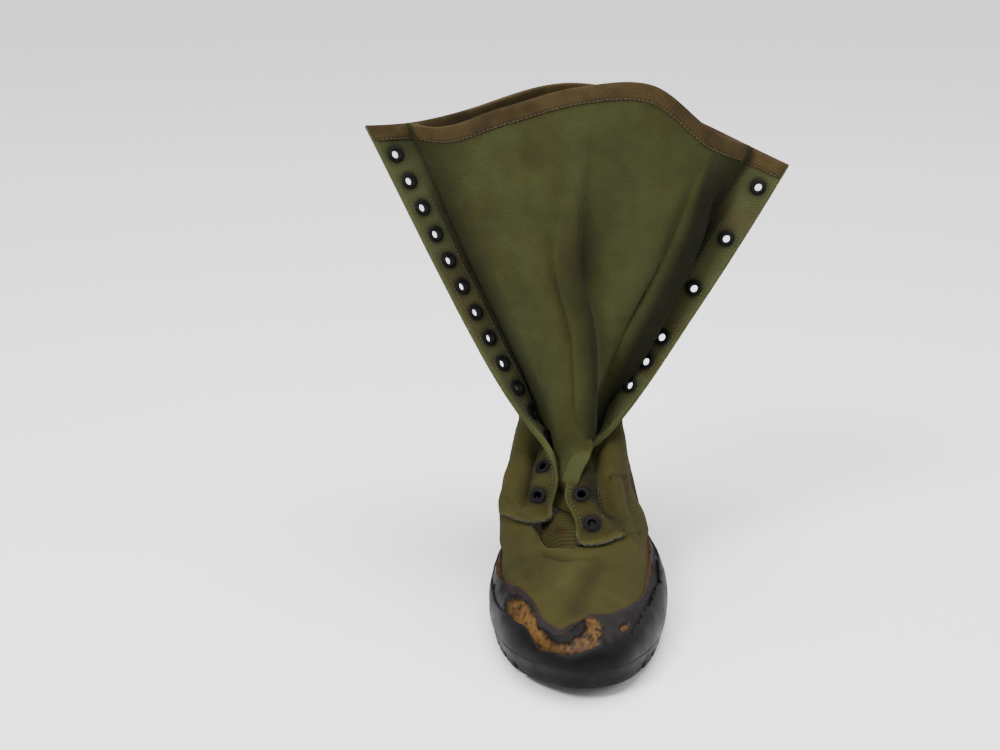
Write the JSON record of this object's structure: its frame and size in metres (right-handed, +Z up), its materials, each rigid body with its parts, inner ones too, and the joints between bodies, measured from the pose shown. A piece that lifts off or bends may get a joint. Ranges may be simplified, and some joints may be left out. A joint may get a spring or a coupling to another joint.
{
  "type": "jungle boot",
  "caption": "Left-foot canvas and rubber jungle boot with spread-open shaft, folding tongue, eyelet facings, rubber foxing and lugged sole.",
  "frame": {"origin": "on the floor plane, under the middle of the heel", "axes": "+Z up, -Y towards the toe, +X towards the wearer's outer side"},
  "size_m": [0.2675, 0.3016, 0.3213],
  "materials": {
    "olive_canvas": "worn olive cotton canvas",
    "tongue_canvas": "thin olive cotton canvas",
    "black_rubber": "aged black rubber with a low sheen",
    "tan_tape": "tan cotton binding tape",
    "insole_canvas": "plain liner cloth",
    "black_eyelet": "worn black lacquer"
  },
  "bodies": {
    "root": {"outsole": "black_rubber", "foxing": "black_rubber", "toe_bumper": "black_rubber", "upper": "olive_canvas", "tongue": "tongue_canvas", "insole": "insole_canvas", "collar_tape": "tan_tape", "tongue_tape": "tan_tape", "eyelet_medial_01": "black_eyelet", "eyelet_medial_02": "black_eyelet", "eyelet_medial_03": "black_eyelet", "eyelet_medial_04": "black_eyelet", "eyelet_medial_05": "black_eyelet", "eyelet_medial_06": "black_eyelet", "eyelet_medial_07": "black_eyelet", "eyelet_medial_08": "black_eyelet", "eyelet_medial_09": "black_eyelet", "eyelet_medial_10": "black_eyelet", "eyelet_medial_11": "black_eyelet", "eyelet_medial_12": "black_eyelet", "eyelet_medial_13": "black_eyelet", "eyelet_medial_14": "black_eyelet", "eyelet_lateral_01": "black_eyelet", "eyelet_lateral_02": "black_eyelet", "eyelet_lateral_03": "black_eyelet", "eyelet_lateral_04": "black_eyelet", "eyelet_lateral_05": "black_eyelet", "eyelet_lateral_06": "black_eyelet", "eyelet_lateral_07": "black_eyelet", "eyelet_lateral_08": "black_eyelet"}
  },
  "joints": []
}
